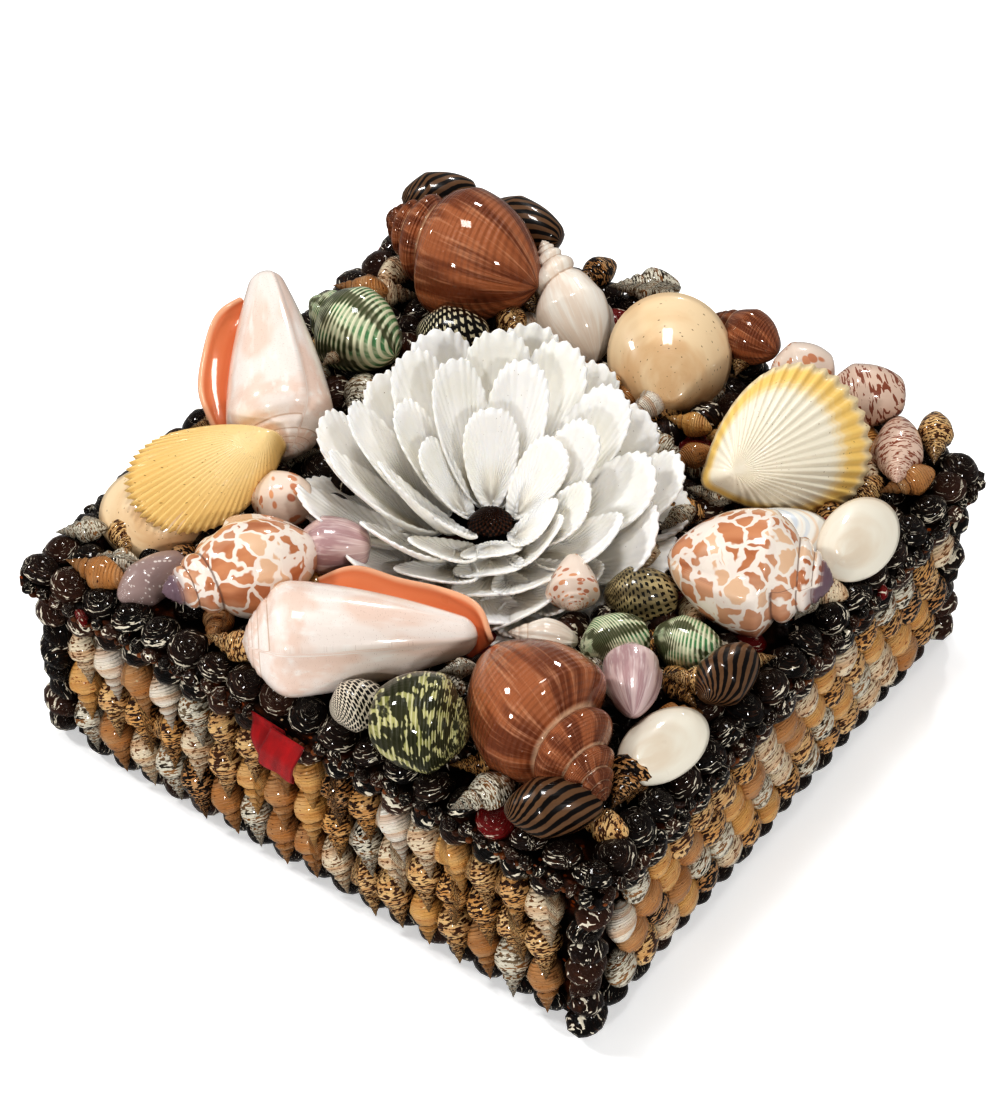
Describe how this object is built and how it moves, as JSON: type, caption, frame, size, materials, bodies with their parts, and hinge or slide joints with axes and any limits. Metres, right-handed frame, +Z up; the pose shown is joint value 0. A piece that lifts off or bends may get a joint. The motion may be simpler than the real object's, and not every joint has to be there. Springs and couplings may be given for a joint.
{
  "type": "shell-covered trinket box",
  "caption": "Square trinket box with a lift-off lid, covered in glued sea shells, with a shell flower and a ribbon tab on the lid.",
  "frame": {"origin": "middle of the underside of the box, on the surface it stands on", "axes": "+Z up, the wall with the ribbon tab faces -Y, the lid lifts off along +Z"},
  "size_m": [0.1805, 0.1843, 0.0968],
  "materials": {
    "dark_board": "dark stained board with brown glue between the shells",
    "red_ribbon": "red woven ribbon",
    "dark_nerite": "varnished dark brown shell with white flecks",
    "spindle_shell": "varnished orange, tan and chequered spindle shells",
    "scale_shell": "varnished cream and orange shells set like scales",
    "white_shell": "white ribbed shell",
    "pale_shell": "varnished cream to pink shell",
    "mottled_shell": "varnished cream shell with brown blotches",
    "brown_shell": "varnished red-brown shell with growth lines",
    "green_shell": "varnished green, cream and black striped shell",
    "striped_shell": "varnished black shell with tan stripes",
    "chequered_shell": "varnished black and cream chequered shell",
    "tan_shell": "smooth varnished tan shell",
    "yellow_shell": "ribbed yellow and white shell"
  },
  "bodies": {
    "root": {"box_carcass": "dark_board", "lid_board": "dark_board", "pull_tab": "red_ribbon", "front_foot_nerites": "dark_nerite", "right_foot_nerites": "dark_nerite", "back_foot_nerites": "dark_nerite", "left_foot_nerites": "dark_nerite", "front_rim_nerites": "dark_nerite", "right_rim_nerites": "dark_nerite", "back_rim_nerites": "dark_nerite", "left_rim_nerites": "dark_nerite", "front_left_corner_nerites": "dark_nerite", "front_right_corner_nerites": "dark_nerite", "back_left_corner_nerites": "dark_nerite", "back_right_corner_nerites": "dark_nerite", "front_wall_spindles": "spindle_shell", "back_wall_spindles": "spindle_shell", "left_wall_scales": "scale_shell", "right_wall_scales": "scale_shell", "front_lid_buttons": "dark_nerite", "right_lid_buttons": "dark_nerite", "back_lid_buttons": "dark_nerite", "left_lid_buttons": "dark_nerite", "outer_petals": "white_shell", "middle_petals": "white_shell", "inner_petals": "white_shell", "flower_cap": "brown_shell", "front_conch": "pale_shell", "left_conch": "pale_shell", "front_babylon": "mottled_shell", "right_babylon": "mottled_shell", "front_whelk": "brown_shell", "back_whelk": "brown_shell", "white_whelk": "pale_shell", "olive_turban": "green_shell", "green_turban": "green_shell", "striped_turban": "green_shell", "left_turban": "green_shell", "front_zebra": "striped_shell", "right_zebra": "striped_shell", "back_zebra": "striped_shell", "corner_zebra": "striped_shell", "check_top": "chequered_shell", "olive_nerite": "chequered_shell", "yellow_flecked_nerite": "chequered_shell", "teardrop_cone": "pale_shell", "ribbed_cone": "white_shell", "lilac_cowrie": "mottled_shell", "spotted_moon": "mottled_shell", "mauve_moon": "mottled_shell", "cream_moon": "pale_shell", "pink_turban": "mottled_shell", "pink_cone": "mottled_shell", "brown_cone": "brown_shell", "cream_clam": "white_shell", "white_clam": "white_shell", "tan_clam": "tan_shell", "tan_disc": "tan_shell", "yellow_cockle": "yellow_shell", "scallop": "yellow_shell"}
  },
  "joints": []
}
